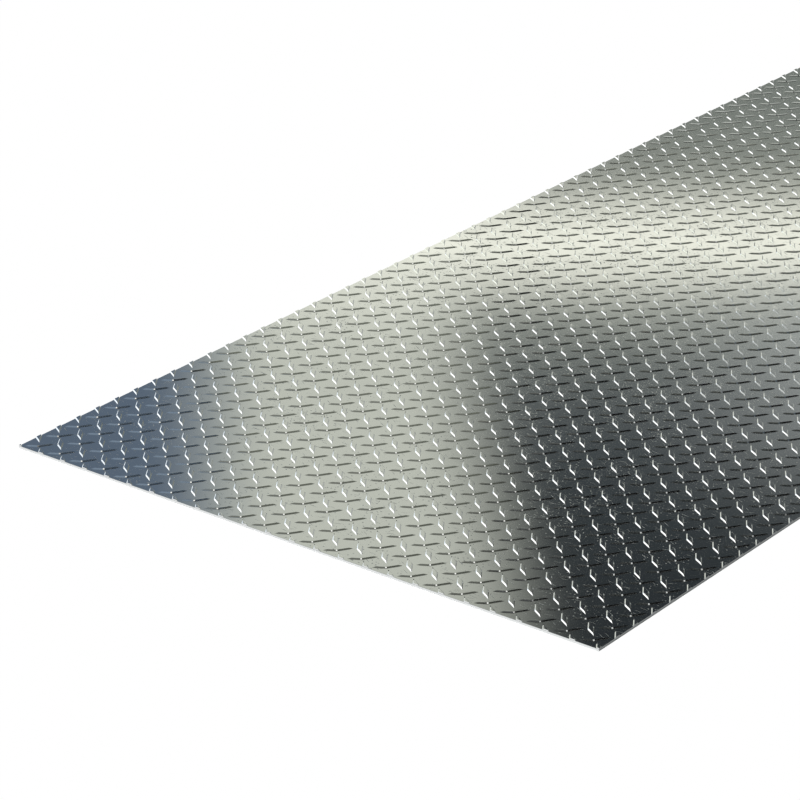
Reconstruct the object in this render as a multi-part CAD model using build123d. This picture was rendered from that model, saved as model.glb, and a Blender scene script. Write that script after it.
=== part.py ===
"""Aluminium tread plate: one flat rectangular sheet, rolled and sheared as a single piece.

The sheet lies on its plain underside. +X runs along its length, +Y across its width and +Z up out of
the treaded face. The origin is at the centre of the underside. Its thickness is the gauge that tread
plate is sold by, which is measured between the lugs.
"""

import os

from build123d import *

# Driving dimensions, in millimetres
INCH = 25.4
PLATE_LENGTH = 96 * INCH  # stock length of eight feet
PLATE_WIDTH = 24 * INCH  # stock width of two feet
PLATE_GAUGE = 0.080 * INCH  # thickness of the sheet between its lugs
EDGE_BREAK = 0.2  # chamfer left where the sheared edges are deburred


def tread_plate():
    """The sheet, with every sheared edge deburred."""
    sheet = Box(
        PLATE_LENGTH,
        PLATE_WIDTH,
        PLATE_GAUGE,
        align=(Align.CENTER, Align.CENTER, Align.MIN),
    )
    return chamfer(sheet.edges(), EDGE_BREAK)


def main():
    os.makedirs("parts", exist_ok=True)
    export_step(tread_plate(), "parts/tread_plate.step")


main()
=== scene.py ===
"""Aluminium tread plate: its rolled lugs, metal finish, studio and camera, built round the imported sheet.

The file is laid out as an add-on and is run as a script. The sheet lies on the floor with +X along its
length, +Y across its width and +Z up out of the treaded face. Lengths are in metres.
"""

import math

import bmesh
import bpy
from bpy.props import FloatProperty, FloatVectorProperty, PointerProperty
from mathutils import Matrix, Vector


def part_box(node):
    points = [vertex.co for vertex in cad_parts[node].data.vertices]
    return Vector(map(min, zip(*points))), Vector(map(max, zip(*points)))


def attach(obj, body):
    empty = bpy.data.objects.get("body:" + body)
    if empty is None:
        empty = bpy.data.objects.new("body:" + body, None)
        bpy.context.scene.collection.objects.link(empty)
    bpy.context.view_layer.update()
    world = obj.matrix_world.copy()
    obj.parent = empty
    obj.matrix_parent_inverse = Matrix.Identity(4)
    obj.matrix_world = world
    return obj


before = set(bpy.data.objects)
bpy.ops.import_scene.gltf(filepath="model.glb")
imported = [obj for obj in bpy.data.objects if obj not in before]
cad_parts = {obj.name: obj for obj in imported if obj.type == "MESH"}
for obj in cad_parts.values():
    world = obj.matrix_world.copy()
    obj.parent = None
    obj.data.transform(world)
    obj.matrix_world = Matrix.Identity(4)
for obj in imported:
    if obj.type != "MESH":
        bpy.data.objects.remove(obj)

bl_info = {
    "name": "Aluminium tread plate",
    "version": (1, 0, 0),
    "blender": (4, 5, 0),
    "location": "View3D > Sidebar > Tread plate",
    "description": "Adds rolled lugs, a metal finish and a studio to a packed tread plate",
    "category": "Object",
}

SHEET_NODE = "tread_plate"
ROOT_BODY = "root"
MM = 0.001
INCH = 0.0254
SENSOR_WIDTH_MM = 36.0
LEAN = math.radians(45)

# How the metal's marks are drawn from noise
SMUDGE_SHARE = 0.6
STREAK_SHARE = 0.4
CLOUD_LEVELS = (0.35, 0.65)
GLOSS_SHARES = (0.93, 1.07)
SPECK_CLUSTERING = 2.4
SPECK_LEVELS = (1.8, 2.5)
SCRATCH_TURNS = (60, 85, 110)
SCRATCH_LEVELS = (0.84, 0.98)

# Upward part of the normal at which a lug's flank begins and is full, and the same for a sheared edge
FLANK_NORMALS = (0.97, 0.9)
EDGE_NORMALS = (0.45, 0.15)


def linear(hex_colour):
    """Turns an sRGB hex colour into the linear red, green and blue that colour sockets take."""
    channels = [int(hex_colour[i : i + 2], 16) / 255 for i in (1, 3, 5)]
    return tuple(c / 12.92 if c <= 0.04045 else ((c + 0.055) / 1.055) ** 2.4 for c in channels)


def rgba(colour):
    """Gives a linear colour its alpha, for sockets that hold four numbers."""
    return (*colour, 1.0)


# Settings that a user would change


class LugSettings(bpy.types.PropertyGroup):
    """Sizes of the raised lugs and of the pattern that they repeat in."""

    pitch: FloatProperty(
        name="Pitch",
        description="Distance from a lug to the next one that lies the same way",
        default=1.0 * INCH,
        unit="LENGTH",
    )
    length: FloatProperty(
        name="Length",
        description="Length of a lug at its foot, from tip to tip",
        default=25.4 * MM,
        unit="LENGTH",
    )
    width: FloatProperty(
        name="Width",
        description="Width of a lug at its foot, before its waist corners are blunted",
        default=5.6 * MM,
        unit="LENGTH",
    )
    height: FloatProperty(
        name="Height",
        description="Height of the lug's crown above the sheet",
        default=0.9 * MM,
        unit="LENGTH",
    )
    flank_slope: FloatProperty(
        name="Flank slope",
        description="Angle of the lug's flanks above the sheet",
        default=math.radians(48),
        subtype="ANGLE",
    )
    toe: FloatProperty(
        name="Toe",
        description="Width of the soft toe where a flank runs out into the sheet",
        default=0.06 * MM,
        unit="LENGTH",
    )
    brow: FloatProperty(
        name="Brow",
        description="Width of the rounded brow between a flank and the crown",
        default=0.08 * MM,
        unit="LENGTH",
    )
    waist: FloatProperty(
        name="Waist",
        description="Width of the blunt facet at each side corner of the lug",
        default=1.35 * MM,
        unit="LENGTH",
    )
    skew: FloatProperty(
        name="Skew",
        description="Distance along the lug from its middle to each blunt facet's middle, one each way",
        default=1.5 * MM,
        unit="LENGTH",
    )
    offset: FloatProperty(
        name="Offset",
        description="Distance that the pattern lies off the sheet's sheared edges, along and across",
        default=-0.8 * MM,
        unit="LENGTH",
    )


class FinishSettings(bpy.types.PropertyGroup):
    """Colours and marks of the bright rolled aluminium."""

    metal: FloatVectorProperty(
        name="Metal",
        description="Colour of the bare aluminium",
        default=linear("#F4F5F4"),
        subtype="COLOR",
        size=3,
    )
    sheared: FloatVectorProperty(
        name="Sheared metal",
        description="Colour of the dull sheared edges",
        default=linear("#E4E6E6"),
        subtype="COLOR",
        size=3,
    )
    gloss: FloatProperty(
        name="Gloss roughness",
        description="Roughness of the clean rolled face",
        default=0.078,
        subtype="FACTOR",
    )
    scuff: FloatProperty(
        name="Scuff roughness",
        description="Roughness of specks and scratches",
        default=0.7,
        subtype="FACTOR",
    )
    dull: FloatProperty(
        name="Dull roughness",
        description="Roughness of the sheared edges and the plain underside",
        default=0.3,
        subtype="FACTOR",
    )
    flank: FloatProperty(
        name="Flank roughness",
        description="Roughness of the lugs' flanks, which the roll burnishes",
        default=0.045,
        subtype="FACTOR",
    )
    speck: FloatProperty(
        name="Speck",
        description="Width of a speck at its foot, drawn coarser than a real one so that it shows",
        default=2.0 * MM,
        unit="LENGTH",
    )
    speck_spacing: FloatProperty(
        name="Speck spacing",
        description="Distance between the places where a speck can lie",
        default=5.0 * MM,
        unit="LENGTH",
    )
    scratch_length: FloatProperty(
        name="Scratch length",
        description="Length of a handling scratch",
        default=16.0 * MM,
        unit="LENGTH",
    )
    scratch_width: FloatProperty(
        name="Scratch width",
        description="Width of a handling scratch, drawn coarser than a real one so that it shows",
        default=1.0 * MM,
        unit="LENGTH",
    )
    smudge: FloatProperty(
        name="Smudge",
        description="Width of the cloudy smudges in the shine",
        default=55.0 * MM,
        unit="LENGTH",
    )
    grain_length: FloatProperty(
        name="Grain length",
        description="Length of the streaks that the rolls leave along the sheet",
        default=120.0 * MM,
        unit="LENGTH",
    )
    grain_width: FloatProperty(
        name="Grain width",
        description="Width of a rolling streak, drawn coarser than the real one so that it shows",
        default=2.5 * MM,
        unit="LENGTH",
    )


class StudioSettings(bpy.types.PropertyGroup):
    """The room that the metal reflects. The camera sees only its white floor and air."""

    half_size: FloatProperty(
        name="Half size",
        description="Distance from the middle of the sheet to each wall",
        default=8.0,
        unit="LENGTH",
    )
    ceiling: FloatProperty(
        name="Ceiling",
        description="Height of the room",
        default=7.0,
        unit="LENGTH",
    )
    ambient: FloatProperty(
        name="Ambient",
        description="Share of the floor's light that comes evenly from all round",
        default=0.15,
        subtype="FACTOR",
    )
    floor: FloatVectorProperty(
        name="Floor",
        description="Colour of the matt white floor",
        default=linear("#F4F4F4"),
        subtype="COLOR",
        size=3,
    )


class ViewSettings(bpy.types.PropertyGroup):
    """The photograph's camera."""

    aim_x: FloatProperty(
        name="Aim X",
        description="Point on the treaded face at the middle of the picture, along the sheet",
        default=-0.9412,
        unit="LENGTH",
    )
    aim_y: FloatProperty(
        name="Aim Y",
        description="Point on the treaded face at the middle of the picture, across the sheet",
        default=0.1025,
        unit="LENGTH",
    )
    distance: FloatProperty(
        name="Distance",
        description="Distance from the camera to the point that it aims at",
        default=3.1357,
        unit="LENGTH",
    )
    heading: FloatProperty(
        name="Heading",
        description="Direction that the camera looks in on plan, turned from +X towards +Y",
        default=math.radians(37.607),
        subtype="ANGLE",
    )
    elevation: FloatProperty(
        name="Elevation",
        description="Height of the camera above the horizon, seen from the sheet",
        default=math.radians(24.142),
        subtype="ANGLE",
    )
    lens: FloatProperty(
        name="Lens",
        description="Focal length on a full-frame sensor, in millimetres",
        default=158.46,
    )


class TreadPlateSettings(bpy.types.PropertyGroup):
    """All settings of the tread plate, kept on the scene."""

    lugs: PointerProperty(type=LugSettings)
    finish: PointerProperty(type=FinishSettings)
    studio: PointerProperty(type=StudioSettings)
    view: PointerProperty(type=ViewSettings)


# Node and object helpers


def add_node(tree, kind, settings=None, inputs=None):
    """Adds a node, applies its settings, and sets or links its inputs by name or number."""
    node = tree.nodes.new(kind)
    for name, value in (settings or {}).items():
        setattr(node, name, value)
    for name, value in (inputs or {}).items():
        if isinstance(value, bpy.types.NodeSocket):
            tree.links.new(value, node.inputs[name])
        else:
            node.inputs[name].default_value = value
    return node


def new_material(name):
    """Makes an empty material and gives it with its node tree."""
    material = bpy.data.materials.new(name)
    material.use_nodes = True
    material.node_tree.nodes.clear()
    return material, material.node_tree


def new_object(name, data):
    """Makes an object for a mesh, lamp or camera and links it to the scene."""
    made = bpy.data.objects.new(name, data)
    bpy.context.scene.collection.objects.link(made)
    return made


def evaluated_mesh(source):
    """Gives the plain mesh that an object's modifiers make."""
    depsgraph = bpy.context.evaluated_depsgraph_get()
    return bpy.data.meshes.new_from_object(source.evaluated_get(depsgraph), depsgraph=depsgraph)


# Finishes


def bright_rolled_aluminium(finish):
    """Mill-bright rolled aluminium: a near mirror with faint streaks, flecked with handling marks.

    The eye sees soft reflections of the room. Specks and hair scratches are rough, so they stay pale
    where the reflection is dark. The lugs' flanks are burnished. The sheared edges are dull and greyer,
    and so is the plain underside.
    """
    material, tree = new_material("Bright rolled aluminium")
    place = add_node(tree, "ShaderNodeTexCoord").outputs["Object"]

    smudges = add_node(
        tree,
        "ShaderNodeTexNoise",
        {"noise_dimensions": "2D"},
        {"Vector": place, "Scale": 1 / finish.smudge, "Detail": 2.0},
    ).outputs["Fac"]
    streaked = add_node(
        tree,
        "ShaderNodeMapping",
        None,
        {"Vector": place, "Scale": (1 / finish.grain_length, 1 / finish.grain_width, 1)},
    )
    streaks = add_node(
        tree,
        "ShaderNodeTexNoise",
        {"noise_dimensions": "2D"},
        {"Vector": streaked.outputs["Vector"], "Scale": 1.0, "Detail": 1.0},
    ).outputs["Fac"]
    streaky = add_node(
        tree, "ShaderNodeMath", {"operation": "MULTIPLY"}, {0: streaks, 1: STREAK_SHARE}
    ).outputs["Value"]
    cloudy = add_node(
        tree,
        "ShaderNodeMath",
        {"operation": "MULTIPLY_ADD"},
        {0: smudges, 1: SMUDGE_SHARE, 2: streaky},
    ).outputs["Value"]
    shine = add_node(
        tree,
        "ShaderNodeMapRange",
        None,
        {
            "Value": cloudy,
            "From Min": CLOUD_LEVELS[0],
            "From Max": CLOUD_LEVELS[1],
            "To Min": finish.gloss * GLOSS_SHARES[0],
            "To Max": finish.gloss * GLOSS_SHARES[1],
        },
    ).outputs["Result"]

    # Specks lie thicker where the metal is smudged
    specks = add_node(
        tree,
        "ShaderNodeTexVoronoi",
        {"voronoi_dimensions": "2D"},
        {"Vector": place, "Scale": 1 / finish.speck_spacing},
    ).outputs
    chance = add_node(tree, "ShaderNodeSeparateXYZ", None, {"Vector": specks["Color"]}).outputs
    likely = add_node(
        tree,
        "ShaderNodeMath",
        {"operation": "MULTIPLY_ADD"},
        {0: smudges, 1: SPECK_CLUSTERING, 2: chance["X"]},
    ).outputs["Value"]
    kept = add_node(
        tree,
        "ShaderNodeMapRange",
        None,
        {"Value": likely, "From Min": SPECK_LEVELS[0], "From Max": SPECK_LEVELS[1]},
    ).outputs["Result"]
    speck_reach = finish.speck / finish.speck_spacing / 2
    blot = add_node(
        tree,
        "ShaderNodeMapRange",
        {"interpolation_type": "SMOOTHSTEP"},
        {"Value": specks["Distance"], "From Min": speck_reach, "From Max": 0.0},
    ).outputs["Result"]
    marks = add_node(
        tree, "ShaderNodeMath", {"operation": "MULTIPLY"}, {0: blot, 1: kept}
    ).outputs["Value"]
    for turn in SCRATCH_TURNS:
        drawn_out = add_node(
            tree,
            "ShaderNodeMapping",
            {"vector_type": "TEXTURE"},
            {
                "Vector": place,
                "Rotation": (0, 0, math.radians(turn)),
                "Scale": (finish.scratch_length, finish.scratch_width, 1),
            },
        )
        hairs = add_node(
            tree,
            "ShaderNodeTexNoise",
            {"noise_dimensions": "2D"},
            {"Vector": drawn_out.outputs["Vector"], "Scale": 1.0, "Detail": 0.0},
        )
        scratch = add_node(
            tree,
            "ShaderNodeMapRange",
            {"interpolation_type": "SMOOTHSTEP"},
            {
                "Value": hairs.outputs["Fac"],
                "From Min": SCRATCH_LEVELS[0],
                "From Max": SCRATCH_LEVELS[1],
            },
        )
        marks = add_node(
            tree,
            "ShaderNodeMath",
            {"operation": "MAXIMUM"},
            {0: marks, 1: scratch.outputs["Result"]},
        ).outputs["Value"]
    worked = add_node(
        tree,
        "ShaderNodeMapRange",
        None,
        {"Value": marks, "To Min": shine, "To Max": finish.scuff},
    ).outputs["Result"]

    normal = add_node(tree, "ShaderNodeNewGeometry").outputs["True Normal"]
    upward = add_node(tree, "ShaderNodeSeparateXYZ", None, {"Vector": normal}).outputs["Z"]
    flank = add_node(
        tree,
        "ShaderNodeMapRange",
        None,
        {"Value": upward, "From Min": FLANK_NORMALS[0], "From Max": FLANK_NORMALS[1]},
    ).outputs["Result"]
    burnished = add_node(
        tree,
        "ShaderNodeMapRange",
        None,
        {"Value": flank, "To Min": worked, "To Max": finish.flank},
    ).outputs["Result"]
    dull = add_node(
        tree,
        "ShaderNodeMapRange",
        None,
        {"Value": upward, "From Min": EDGE_NORMALS[0], "From Max": EDGE_NORMALS[1]},
    ).outputs["Result"]
    roughness = add_node(
        tree,
        "ShaderNodeMapRange",
        None,
        {"Value": dull, "To Min": burnished, "To Max": finish.dull},
    ).outputs["Result"]
    # A colour mix has its colours in inputs 6 and 7, and gives its own in output 2
    colour = add_node(
        tree,
        "ShaderNodeMix",
        {"data_type": "RGBA"},
        {0: dull, 6: rgba(finish.metal), 7: rgba(finish.sheared)},
    ).outputs[2]
    metal = add_node(
        tree,
        "ShaderNodeBsdfPrincipled",
        None,
        {"Base Color": colour, "Metallic": 1.0, "Roughness": roughness},
    )
    add_node(tree, "ShaderNodeOutputMaterial", None, {"Surface": metal.outputs["BSDF"]})
    return material


# Lugs


def lug_profile(lugs):
    """Runs in from the foot outline and heights above the sheet, from foot to crown.

    The toe and the brow slope less than the flank, and the foot sinks a hair into the sheet.
    """
    rise = math.tan(lugs.flank_slope)
    toe_rise = lugs.toe * rise / 2
    brow_rise = lugs.brow * rise / 2
    flank_run = (lugs.height - toe_rise - brow_rise) / rise
    return (
        (0.0, -toe_rise / 2),
        (lugs.toe, toe_rise),
        (lugs.toe + flank_run, lugs.height - brow_rise),
        (lugs.toe + flank_run + lugs.brow, lugs.height),
    )


def lug_outline(lugs, hand):
    """The lug's foot on plan, a long diamond with a blunt facet at each waist. It goes round from +X."""
    tip = lugs.length / 2
    side = lugs.width / 2
    blunt = lugs.waist / 2
    skew = -lugs.skew * hand
    return [
        Vector((tip, 0)),
        Vector((skew + blunt, side)),
        Vector((skew - blunt, side)),
        Vector((-tip, 0)),
        Vector((-skew - blunt, -side)),
        Vector((-skew + blunt, -side)),
    ]


def set_in(outline, run):
    """An outline with every side moved in by a run."""
    moved = []
    for i, corner in enumerate(outline):
        before = (corner - outline[i - 1]).normalized()
        after = (outline[(i + 1) % len(outline)] - corner).normalized()
        turn = before.x * after.y - before.y * after.x
        moved.append(corner + (after - before) * (run / turn))
    return moved


def lug_mesh(lugs, hand):
    """One closed lug that lies along X, with its foot a hair below Z = 0."""
    shape = bmesh.new()
    rings = []
    for run, height in lug_profile(lugs):
        outline = set_in(lug_outline(lugs, hand), run)
        rings.append([shape.verts.new((corner.x, corner.y, height)) for corner in outline])
    for lower, upper in zip(rings, rings[1:]):
        for i in range(len(lower)):
            k = (i + 1) % len(lower)
            shape.faces.new((lower[i], lower[k], upper[k], upper[i]))
        for i, corner in enumerate(lower):
            shape.edges.get((corner, upper[i])).smooth = False
    shape.faces.new(rings[-1])
    shape.faces.new(reversed(rings[0]))
    mesh = bpy.data.meshes.new("lug")
    shape.to_mesh(mesh)
    shape.free()
    return mesh


def lug_rows_tree():
    """Node tree that sets a lug on every point of a grid, turned one way, and joins them in one mesh."""
    tree = bpy.data.node_groups.new("Lug rows", "GeometryNodeTree")
    sockets = {}
    for name, kind in (
        ("Lug", "NodeSocketObject"),
        ("Pitch", "NodeSocketFloat"),
        ("Columns", "NodeSocketInt"),
        ("Rows", "NodeSocketInt"),
        ("Turn", "NodeSocketFloat"),
        ("Offset", "NodeSocketFloat"),
        ("Face height", "NodeSocketFloat"),
        ("Finish", "NodeSocketMaterial"),
    ):
        sockets[name] = tree.interface.new_socket(name, in_out="INPUT", socket_type=kind).identifier
    tree.interface.new_socket("Lugs", in_out="OUTPUT", socket_type="NodeSocketGeometry")
    given = add_node(tree, "NodeGroupInput").outputs

    spans = []
    for count in ("Columns", "Rows"):
        gaps = add_node(tree, "ShaderNodeMath", {"operation": "SUBTRACT"}, {0: given[count], 1: 1.0})
        span = add_node(
            tree,
            "ShaderNodeMath",
            {"operation": "MULTIPLY"},
            {0: gaps.outputs["Value"], 1: given["Pitch"]},
        )
        spans.append(span.outputs["Value"])
    grid = add_node(
        tree,
        "GeometryNodeMeshGrid",
        None,
        {
            "Size X": spans[0],
            "Size Y": spans[1],
            "Vertices X": given["Columns"],
            "Vertices Y": given["Rows"],
        },
    )
    lift = add_node(
        tree,
        "ShaderNodeCombineXYZ",
        None,
        {"X": given["Offset"], "Y": given["Offset"], "Z": given["Face height"]},
    )
    turn = add_node(tree, "ShaderNodeCombineXYZ", None, {"Z": given["Turn"]})
    raised = add_node(
        tree,
        "GeometryNodeTransform",
        None,
        {"Geometry": grid.outputs["Mesh"], "Translation": lift.outputs["Vector"]},
    )
    lug = add_node(tree, "GeometryNodeObjectInfo", None, {"Object": given["Lug"]})
    placed = add_node(
        tree,
        "GeometryNodeInstanceOnPoints",
        None,
        {
            "Points": raised.outputs["Geometry"],
            "Instance": lug.outputs["Geometry"],
            "Rotation": turn.outputs["Vector"],
        },
    )
    joined = add_node(
        tree, "GeometryNodeRealizeInstances", None, {"Geometry": placed.outputs["Instances"]}
    )
    finished = add_node(
        tree,
        "GeometryNodeSetMaterial",
        None,
        {"Geometry": joined.outputs["Geometry"], "Material": given["Finish"]},
    )
    add_node(tree, "NodeGroupOutput", None, {"Lugs": finished.outputs["Geometry"]})
    return tree, sockets


def shear_to(mesh, half_length, half_width):
    """Cuts lugs off flush where the sheet was sheared through them, and closes the cuts."""
    shape = bmesh.new()
    shape.from_mesh(mesh)
    for side in (Vector((1, 0, 0)), Vector((-1, 0, 0)), Vector((0, 1, 0)), Vector((0, -1, 0))):
        reach = abs(side.x) * half_length + abs(side.y) * half_width
        cut = bmesh.ops.bisect_plane(
            shape,
            geom=shape.verts[:] + shape.edges[:] + shape.faces[:],
            plane_co=side * reach,
            plane_no=side,
            clear_outer=True,
        )
        rims = [e for e in cut["geom_cut"] if isinstance(e, bmesh.types.BMEdge)]
        for edge in rims:
            edge.smooth = False
        bmesh.ops.holes_fill(shape, edges=rims)
    shape.to_mesh(mesh)
    shape.free()


def soften(source):
    """Rounds the light over a lug's narrow bands and keeps its broad facets and its corners crisp."""
    for face in source.data.polygons:
        face.use_smooth = True
    source.modifiers.new("Broad facets lead", "WEIGHTED_NORMAL").keep_sharp = True
    softened = evaluated_mesh(source)
    source.modifiers.clear()
    rough = source.data
    source.data = softened
    bpy.data.meshes.remove(rough)


def top_face():
    """Half length, half width and height of the sheet's upper face, inside its deburred edges."""
    level = 0.01 * MM
    corners = [v.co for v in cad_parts[SHEET_NODE].data.vertices]
    height = max(c.z for c in corners)
    rim = [c for c in corners if height - c.z < level]
    return max(c.x for c in rim), max(c.y for c in rim), height


# Studio


def card(name, corners, material):
    """A flat card in the room, which only the metal sees. Its corners go round from the lower left."""
    mesh = bpy.data.meshes.new(name)
    mesh.from_pydata(corners, [], [range(4)])
    spread = mesh.uv_layers.new(name="spread")
    for loop, place in zip(spread.uv, ((0, 0), (1, 0), (1, 1), (0, 1))):
        loop.vector = place
    made = new_object(name, mesh)
    mesh.materials.append(material)
    made.visible_camera = False
    made.visible_diffuse = False
    made.visible_shadow = False


def glow(name, colour, strength=1.0, fades=(0, 0, 0, 0)):
    """A lit card of one colour. It fades out over shares of its left, right, lower and upper sides."""
    material, tree = new_material(name)
    light = add_node(
        tree, "ShaderNodeEmission", None, {"Color": rgba(linear(colour)), "Strength": strength}
    )
    spread = add_node(tree, "ShaderNodeTexCoord").outputs["UV"]
    axes = add_node(tree, "ShaderNodeSeparateXYZ", None, {"Vector": spread}).outputs
    left, right, lower, upper = fades
    shown = None
    for axis, edge, fade in (("X", 0, left), ("X", 1, right), ("Y", 0, lower), ("Y", 1, upper)):
        if fade == 0:
            continue
        side = add_node(
            tree,
            "ShaderNodeMapRange",
            {"interpolation_type": "SMOOTHSTEP"},
            {"Value": axes[axis], "From Min": edge, "From Max": abs(edge - fade)},
        ).outputs["Result"]
        if shown is not None:
            side = add_node(
                tree, "ShaderNodeMath", {"operation": "MULTIPLY"}, {0: shown, 1: side}
            ).outputs["Value"]
        shown = side
    surface = light.outputs["Emission"]
    if shown is not None:
        clear = add_node(tree, "ShaderNodeBsdfTransparent")
        surface = add_node(
            tree, "ShaderNodeMixShader", None, {0: shown, 1: clear.outputs["BSDF"], 2: surface}
        ).outputs["Shader"]
    add_node(tree, "ShaderNodeOutputMaterial", None, {"Surface": surface})
    material.cycles.emission_sampling = "NONE"
    return material


def wall_paint(ceiling):
    """Grey wall with a soft cove of light along it, dark above. Metal shows it as bands."""
    strength = 1.2
    material, tree = new_material("Cove-lit grey wall")
    place = add_node(tree, "ShaderNodeNewGeometry").outputs["Position"]
    height = add_node(tree, "ShaderNodeSeparateXYZ", None, {"Vector": place}).outputs["Z"]
    share = add_node(
        tree, "ShaderNodeMath", {"operation": "DIVIDE"}, {0: height, 1: ceiling}
    ).outputs["Value"]
    ramp = add_node(tree, "ShaderNodeValToRGB", None, {"Fac": share})
    # Metres up the wall, and the colour there
    stops = (
        (0.0, "#2A2C2B"),
        (0.38, "#343635"),
        (0.6, "#6A6F6B"),
        (2.2, "#6A6F6B"),
        (3.05, "#6F746F"),
        (3.25, "#FFFFF1"),
        (3.3, "#FFFFF1"),
        (3.55, "#767B76"),
        (3.9, "#44494C"),
        (4.3, "#2E3336"),
        (4.8, "#25292C"),
        (7.0, "#1C2022"),
    )
    elements = ramp.color_ramp.elements
    elements.remove(elements[1])
    elements[0].position = stops[0][0] / ceiling
    elements[0].color = rgba(linear(stops[0][1]))
    for metres, colour in stops[1:]:
        elements.new(metres / ceiling).color = rgba(linear(colour))
    light = add_node(
        tree, "ShaderNodeEmission", None, {"Color": ramp.outputs["Color"], "Strength": strength}
    )
    add_node(tree, "ShaderNodeOutputMaterial", None, {"Surface": light.outputs["Emission"]})
    material.cycles.emission_sampling = "NONE"
    return material


def seen_rays(tree):
    """One for rays from the camera, a mirror or glass, and nought for the light that rays gather."""
    path = add_node(tree, "ShaderNodeLightPath").outputs
    seen = path["Is Camera Ray"]
    for kind in ("Is Glossy Ray", "Is Transmission Ray"):
        seen = add_node(
            tree, "ShaderNodeMath", {"operation": "MAXIMUM"}, {0: seen, 1: path[kind]}
        ).outputs["Value"]
    return seen


def white_air(ambient):
    """White all round to the eye and in the metal, with a plain level of even light."""
    world = bpy.data.worlds.new("White studio air")
    world.use_nodes = True
    tree = world.node_tree
    tree.nodes.clear()
    strength = add_node(
        tree,
        "ShaderNodeMapRange",
        None,
        {"Value": seen_rays(tree), "To Min": ambient, "To Max": 1.0},
    )
    air = add_node(
        tree,
        "ShaderNodeBackground",
        None,
        {"Color": (1, 1, 1, 1), "Strength": strength.outputs["Result"]},
    )
    add_node(tree, "ShaderNodeOutputWorld", None, {"Surface": air.outputs["Background"]})
    return world


def white_floor(studio):
    """Matt white sweep paper that keeps the sheet's shadow. It lies a hair below the sheet."""
    half = 40.0
    below = 0.05 * MM
    material, tree = new_material("Matt white sweep paper")
    paper = add_node(tree, "ShaderNodeBsdfDiffuse", None, {"Color": rgba(studio.floor)})
    lift = add_node(
        tree,
        "ShaderNodeMath",
        {"operation": "MULTIPLY"},
        {0: seen_rays(tree), 1: 1 - min(studio.floor)},
    )
    glint = add_node(tree, "ShaderNodeEmission", None, {"Strength": lift.outputs["Value"]})
    both = add_node(
        tree, "ShaderNodeAddShader", None, {0: paper.outputs["BSDF"], 1: glint.outputs["Emission"]}
    )
    add_node(tree, "ShaderNodeOutputMaterial", None, {"Surface": both.outputs["Shader"]})
    mesh = bpy.data.meshes.new("floor")
    corners = [(x, y, -below) for x, y in rectangle(-half, -half, half, half)]
    mesh.from_pydata(corners, [], [range(4)])
    floor = new_object("floor", mesh)
    mesh.materials.append(material)


def facing(view):
    """Directions ahead and to the right of the camera on plan, and up."""
    ahead = Vector((math.cos(view.heading), math.sin(view.heading), 0))
    return ahead, Vector((ahead.y, -ahead.x, 0)), Vector((0, 0, 1))


def looking_down(view, angle):
    """Direction that goes ahead of the camera on plan, and down by an angle."""
    ahead, _, up = facing(view)
    return ahead * math.cos(angle) - up * math.sin(angle)


def point_along(placed, direction):
    """Turns the sun or the camera to point along a direction, with its top up."""
    placed.rotation_mode = "QUATERNION"
    placed.rotation_quaternion = direction.to_track_quat("-Z", "Y")


def rectangle(left, lower, right, upper):
    """Corners of a rectangle, round from the lower left."""
    return ((left, lower), (right, lower), (right, upper), (left, upper))


def walls(studio, view):
    """Four walls square to the camera, with flats and boards before the back one for the metal.

    A flat has a name, a distance before the back wall, a light and its corners. A corner is given as
    metres right of the room's middle and metres up.
    """
    ahead, right, up = facing(view)
    half = studio.half_size
    plain = glow("Plain grey wall", "#8E9291", 1.0, (0, 0, 0, 0.7))
    paints = (wall_paint(studio.ceiling), plain, plain, plain)
    for number, paint in enumerate(paints):
        turned = Matrix.Rotation(number * math.pi / 2, 3, "Z")
        out = turned @ ahead * half
        along = turned @ right
        corners = [out + along * a + up * h for a, h in rectangle(-half, 0, half, studio.ceiling)]
        card(f"wall_{number}", corners, paint)

    flats = (
        ("slate_flat", 0.1, glow("Slate blue flat", "#566373", 1.1), rectangle(-3.0, 2.2, -1.1, 5.6)),
        (
            "pale_flat",
            0.2,
            glow("Pale grey flat", "#BABDB3", 1.1, (0.28, 0.4, 0.08, 0.5)),
            ((-1.55, 3.2), (-0.31, 3.2), (0.19, 5.6), (-1.55, 5.6)),
        ),
        (
            "pale_foot",
            0.3,
            glow("Lit foot of the pale flat", "#DCDED2", 1.1, (0.25, 0.3, 0.1, 1.0)),
            ((-1.35, 3.26), (-0.36, 3.26), (-0.31, 3.6), (-1.3, 3.6)),
        ),
        (
            "side_flat",
            0.2,
            glow("Grey side flat", "#A3A7A6", 1.1, (0.65, 0.1, 0.1, 0.73)),
            rectangle(0.05, 3.3, 2.05, 4.4),
        ),
        (
            "right_flat",
            0.1,
            glow("Pale right flat", "#B4B8B6", 1.0, (0.3, 0, 0.1, 0.4)),
            rectangle(2.2, 2.0, 7.9, 6.8),
        ),
        (
            "side_board",
            0.1,
            glow("Side bounce board", "#A4A7A4", 1.1, (0.2, 0.2, 0.02, 0.35)),
            rectangle(2.6, 0.0, 6.6, 1.1),
        ),
        (
            "low_board",
            0.1,
            glow("Low bounce board", "#FFFFFF", 1.2, (0.15, 0.1, 0.08, 0.2)),
            rectangle(-5.0, 0.12, -2.4, 2.5),
        ),
    )
    for name, before, material, corners in flats:
        stand = ahead * (half - before)
        card(name, [stand + right * a + up * h for a, h in corners], material)


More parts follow.
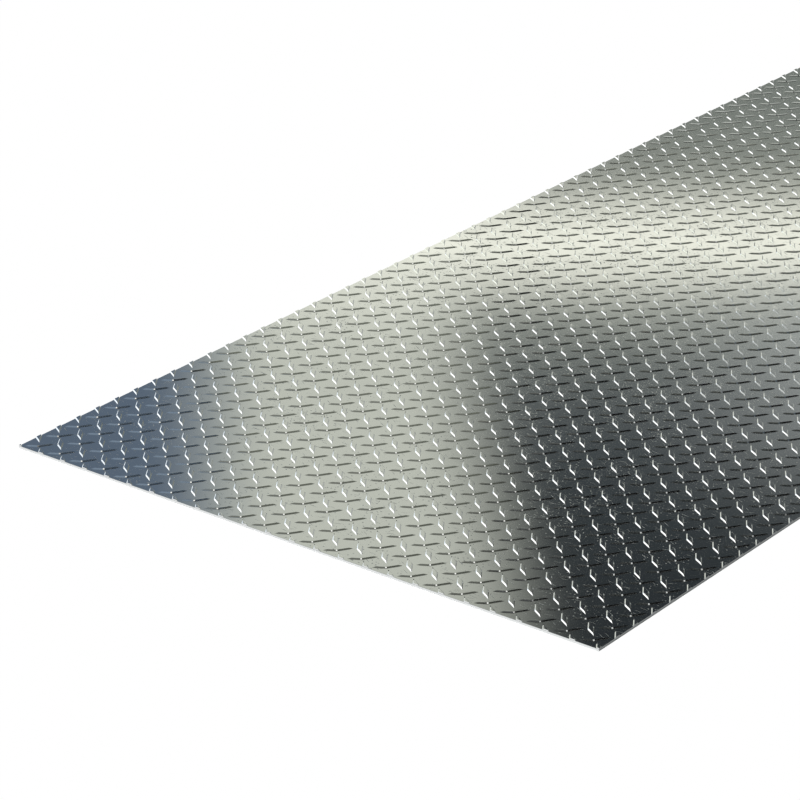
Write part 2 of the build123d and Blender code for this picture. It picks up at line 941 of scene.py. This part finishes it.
def overhead(studio):
    """A dark ceiling, paler round it, with soft lamps in it, which the lugs' flanks mirror.

    A lamp has a name, a drop below the ceiling, a colour, shares to fade out over and its corners,
    along X and Y.
    """
    # The ceiling reaches past the corners of the room, which is turned to face the camera
    half = 1.5 * studio.half_size
    cool = "#78889A"
    pale = glow("Pale ceiling", "#A6A9A8")
    ceilings = (
        ("ceiling", 0.0, glow("Dark ceiling", "#111212"), rectangle(-half, -half, half, half)),
        ("right_ceiling", 0.1, pale, rectangle(4.4, -half, half, half)),
        ("back_ceiling", 0.1, pale, rectangle(-half, 6.0, 4.4, half)),
        ("front_ceiling", 0.1, pale, rectangle(-half, -half, 4.4, -7.0)),
        ("left_ceiling", 0.1, pale, rectangle(-half, 1.0, -5.6, 6.0)),
        ("corner_ceiling", 0.1, pale, ((-half, -7.0), (-4.4, -7.0), (-4.4, -5.0), (-half, -4.0))),
    )
    lamps = (
        # Lamps in the left flanks of the lugs that lean left
        (
            "left_lamp",
            0.1,
            "#8C8E86",
            (0.05, 0.05, 1.0, 0),
            ((-7.9, -2.0), (-7.2, -2.9), (-3.3, -0.5), (-4.0, 0.45)),
        ),
        (
            "left_dim_lamp",
            0.1,
            "#303333",
            (0.05, 0, 0, 0.1),
            ((-6.05, -2.2), (-5.35, -3.2), (-2.6, -1.5), (-3.3, -0.5)),
        ),
        (
            "left_edge_lamp",
            0.15,
            "#545656",
            (0, 1.0, 0, 0.1),
            ((-6.05, -2.2), (-5.82, -2.53), (-3.07, -0.83), (-3.3, -0.5)),
        ),
        (
            "left_far_lamp",
            0.2,
            "#797B73",
            (0.05, 0.05, 0.75, 0.05),
            ((-4.85, -1.45), (-4.1, -2.45), (-2.3, -1.35), (-3.05, -0.3)),
        ),
        (
            "left_end_lamp",
            0.25,
            "#BCC0BA",
            (0, 0, 0.2, 0),
            ((-3.26, -0.75), (-2.81, -1.35), (-2.38, -1.14), (-2.83, -0.54)),
        ),
        (
            "left_cool_lamp",
            0.2,
            cool,
            (0, 0.15, 0, 0),
            ((-6.85, -0.5), (-6.25, -1.35), (-4.6, -0.3), (-5.15, 0.55)),
        ),
        # Lamps in their right flanks
        (
            "front_lamp",
            0.1,
            "#6F7268",
            (0.06, 0.2, 0.72, 0.05),
            ((-2.7, -5.4), (-1.85, -6.2), (-0.05, -4.1), (-0.85, -3.3)),
        ),
        (
            "front_far_lamp",
            0.1,
            "#767970",
            (0.05, 0.05, 0.33, 0.05),
            ((-0.6, -4.75), (0.4, -5.75), (1.5, -4.5), (0.5, -3.5)),
        ),
        (
            "front_end_lamp",
            0.2,
            "#A9ADA8",
            (0, 0, 0.2, 0),
            ((0.54, -4.1), (1.15, -4.69), (1.59, -4.34), (0.98, -3.75)),
        ),
        (
            "front_cool_lamp",
            0.25,
            "#3E4A57",
            (0.05, 0.05, 0.05, 0.05),
            ((-2.5, -4.15), (-1.9, -4.6), (-1.35, -3.95), (-1.85, -3.45)),
        ),
        # Lamps in the blunt facets at their waists
        (
            "waist_lamp",
            0.3,
            "#FFFFFA",
            (0.1, 0.05, 0.05, 0.05),
            ((-4.7, -3.2), (-3.8, -4.45), (-2.0, -2.9), (-2.95, -1.65)),
        ),
        (
            "waist_dim_lamp",
            0.2,
            "#D2D4D4",
            (0.05, 0.5, 0.05, 0.05),
            ((-3.85, -4.55), (-3.25, -5.35), (-0.75, -3.1), (-1.35, -2.3)),
        ),
        # Lamps that flanks mirror by way of the sheet or of each other
        (
            "back_lamp",
            0.1,
            "#7C7E76",
            (0.1, 0.1, 0.1, 0.1),
            ((-1.9, 0.25), (2.05, 2.5), (0.55, 5.15), (-3.4, 2.9)),
        ),
        (
            "back_cool_lamp",
            0.2,
            cool,
            (0, 0.05, 0.05, 0),
            rectangle(-1.6, 2.2, 0.6, 4.2),
        ),
        (
            "low_lamp",
            0.1,
            "#9A9C98",
            (0.1, 0.1, 0.1, 0.1),
            rectangle(-0.2, 4.4, 3.0, 7.2),
        ),
        (
            "right_lamp",
            0.1,
            "#6C6E67",
            (0.15, 0.15, 0.08, 0.2),
            ((2.1, -0.15), (3.3, 1.85), (2.45, 2.35), (1.25, 0.35)),
        ),
        (
            "middle_lamp",
            0.2,
            "#E6E8E0",
            (0.3, 0.6, 0.15, 0.15),
            rectangle(-2.8, -1.6, 1.9, 0.9),
        ),
        (
            "far_left_lamp",
            0.2,
            "#E6E8E0",
            (0.15, 0.15, 0.15, 0.15),
            rectangle(-5.2, 1.8, -2.3, 3.9),
        ),
    )
    lit = [
        (name, drop, glow(name.replace("_", " ").capitalize(), colour, fades=fades), corners)
        for name, drop, colour, fades, corners in lamps
    ]
    for name, drop, material, corners in (*ceilings, *lit):
        card(name, [Vector((x, y, studio.ceiling - drop)) for x, y in corners], material)


def key_panel():
    """A bright panel beyond the sheet's far long edge, which lights up one flank of each lug.

    A leaf has a name, a distance before the panel, a light and its corners, beside the middle and up.
    """
    bearing = math.radians(84)
    distance = 7.0
    away = Vector((math.cos(bearing), math.sin(bearing), 0))
    beside = Vector((away.y, -away.x, 0))
    up = Vector((0, 0, 1))
    leaves = (
        (
            "key_flat",
            -0.3,
            glow("Grey flat behind the key panel", "#9CA09F"),
            rectangle(-3.6, 0.0, 1.4, 6.9),
        ),
        (
            "key_panel",
            0.0,
            glow("Key panel", "#FFFFFF", 1.5, (0, 0.1, 0, 0)),
            rectangle(-2.6, 0.1, 0.4, 3.6),
        ),
        (
            "key_seam",
            0.15,
            glow("Dimmer seam of the key panel", "#FBFFF0", 1.05, (0.25, 0.25, 0, 0)),
            rectangle(-0.95, 0.1, -0.48, 3.6),
        ),
        (
            "key_foot",
            0.1,
            glow("Cool foot of the key panel", "#E9F2FB", 1.25, (0, 0, 0, 0.25)),
            rectangle(-2.6, 0.1, 2.6, 2.0),
        ),
        (
            "key_shade",
            0.2,
            glow("Dim corner of the key panel", "#BABEBC", 1.0, (0.4, 0.25, 0.5, 0)),
            rectangle(-1.5, 2.6, -0.72, 3.6),
        ),
    )
    for name, before, material, corners in leaves:
        stand = away * (distance - before)
        card(name, [stand + beside * a + up * h for a, h in corners], material)


def front_strip():
    """A grey strip just over the floor along the near long edge, which that edge mirrors."""
    depth = 30 * MM
    lift = 0.1 * MM
    low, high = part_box(SHEET_NODE)
    corners = [Vector((x, y, lift)) for x, y in rectangle(low.x, low.y - depth, high.x, low.y)]
    card("front_strip", corners, glow("Grey floor strip", "#7B7C7C"))


def window_light(studio, view):
    """Broad soft daylight from the camera's side, at the level that makes the floor white."""
    height = math.radians(50)
    softness = math.radians(25)
    light = bpy.data.lights.new("Window light", "SUN")
    light.energy = (1 - studio.ambient) * math.pi / math.sin(height)
    light.angle = softness
    sun = new_object("Window light", light)
    sun.visible_glossy = False
    point_along(sun, looking_down(view, height))


def photo_camera(view):
    """The camera, set by the point that it aims at and the way that it looks."""
    lens = bpy.data.cameras.new("Camera")
    lens.sensor_width = SENSOR_WIDTH_MM
    lens.lens = view.lens
    camera = new_object("Camera", lens)
    looking = looking_down(view, view.elevation)
    aim = Vector((view.aim_x, view.aim_y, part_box(SHEET_NODE)[1].z))
    camera.location = aim - looking * view.distance
    point_along(camera, looking)
    bpy.context.scene.camera = camera


# Operators


class TREAD_OT_sheet(bpy.types.Operator):
    """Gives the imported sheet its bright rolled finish"""

    bl_idname = "tread.sheet"
    bl_label = "Finish the sheet"

    def execute(self, context):
        finish = context.scene.tread_plate.finish
        metal = bright_rolled_aluminium(finish)
        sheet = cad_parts[SHEET_NODE]
        for slot in sheet.material_slots:
            slot.material = metal
        return {"FINISHED"}


class TREAD_OT_lugs(bpy.types.Operator):
    """Rolls both families of lugs onto the sheet's upper face"""

    bl_idname = "tread.lugs"
    bl_label = "Roll the lugs"

    def execute(self, context):
        lugs = context.scene.tread_plate.lugs
        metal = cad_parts[SHEET_NODE].material_slots[0].material
        low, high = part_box(SHEET_NODE)
        tiles = [round(span / lugs.pitch) for span in (high.x - low.x, high.y - low.y)]
        half_length, half_width, face = top_face()
        tree, sockets = lug_rows_tree()
        # Right-leaning lugs lie at the corners of squares that have a left-leaning lug in the middle
        families = (
            ("lugs_leaning_left", -1, tiles),
            ("lugs_leaning_right", 1, [n + 1 for n in tiles]),
        )
        for name, hand, (columns, rows) in families:
            pattern = new_object("lug_pattern", lug_mesh(lugs, hand))
            piece = new_object(name, bpy.data.meshes.new(name))
            modifier = piece.modifiers.new("Lug rows", "NODES")
            modifier.node_group = tree
            modifier[sockets["Lug"]] = pattern
            modifier[sockets["Pitch"]] = lugs.pitch
            modifier[sockets["Columns"]] = columns
            modifier[sockets["Rows"]] = rows
            modifier[sockets["Turn"]] = hand * LEAN
            modifier[sockets["Offset"]] = lugs.offset
            modifier[sockets["Face height"]] = face
            modifier[sockets["Finish"]] = metal
            rolled = evaluated_mesh(piece)
            piece.modifiers.clear()
            piece.data = rolled
            shear_to(rolled, half_length, half_width)
            soften(piece)
            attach(piece, ROOT_BODY)
            bpy.data.objects.remove(pattern)
        return {"FINISHED"}


class TREAD_OT_stage(bpy.types.Operator):
    """Builds the studio, its light and the camera"""

    bl_idname = "tread.stage"
    bl_label = "Build the studio"

    def execute(self, context):
        settings = context.scene.tread_plate
        studio = settings.studio
        view = settings.view
        scene = context.scene
        scene.view_settings.view_transform = "Standard"
        scene.world = white_air(studio.ambient)
        white_floor(studio)
        walls(studio, view)
        overhead(studio)
        key_panel()
        front_strip()
        window_light(studio, view)
        photo_camera(view)
        return {"FINISHED"}


class TREAD_PT_panel(bpy.types.Panel):
    """Sidebar panel that lists the steps and their settings"""

    bl_idname = "TREAD_PT_panel"
    bl_label = "Tread plate"
    bl_space_type = "VIEW_3D"
    bl_region_type = "UI"
    bl_category = "Tread plate"

    def draw(self, context):
        settings = context.scene.tread_plate
        for step in (TREAD_OT_sheet, TREAD_OT_lugs, TREAD_OT_stage):
            self.layout.operator(step.bl_idname)
        for group in (settings.lugs, settings.finish, settings.studio, settings.view):
            box = self.layout.box()
            for name in group.bl_rna.properties.keys():
                if name not in ("rna_type", "name"):
                    box.prop(group, name)


CLASSES = (
    LugSettings,
    FinishSettings,
    StudioSettings,
    ViewSettings,
    TreadPlateSettings,
    TREAD_OT_sheet,
    TREAD_OT_lugs,
    TREAD_OT_stage,
    TREAD_PT_panel,
)


def register():
    for cls in CLASSES:
        bpy.utils.register_class(cls)
    bpy.types.Scene.tread_plate = PointerProperty(type=TreadPlateSettings)


def unregister():
    del bpy.types.Scene.tread_plate
    for cls in reversed(CLASSES):
        bpy.utils.unregister_class(cls)


def main():
    """Registers the classes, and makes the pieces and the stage."""
    register()
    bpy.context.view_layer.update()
    bpy.ops.tread.sheet()
    bpy.ops.tread.lugs()
    bpy.ops.tread.stage()


if __name__ == "__main__":
    main()
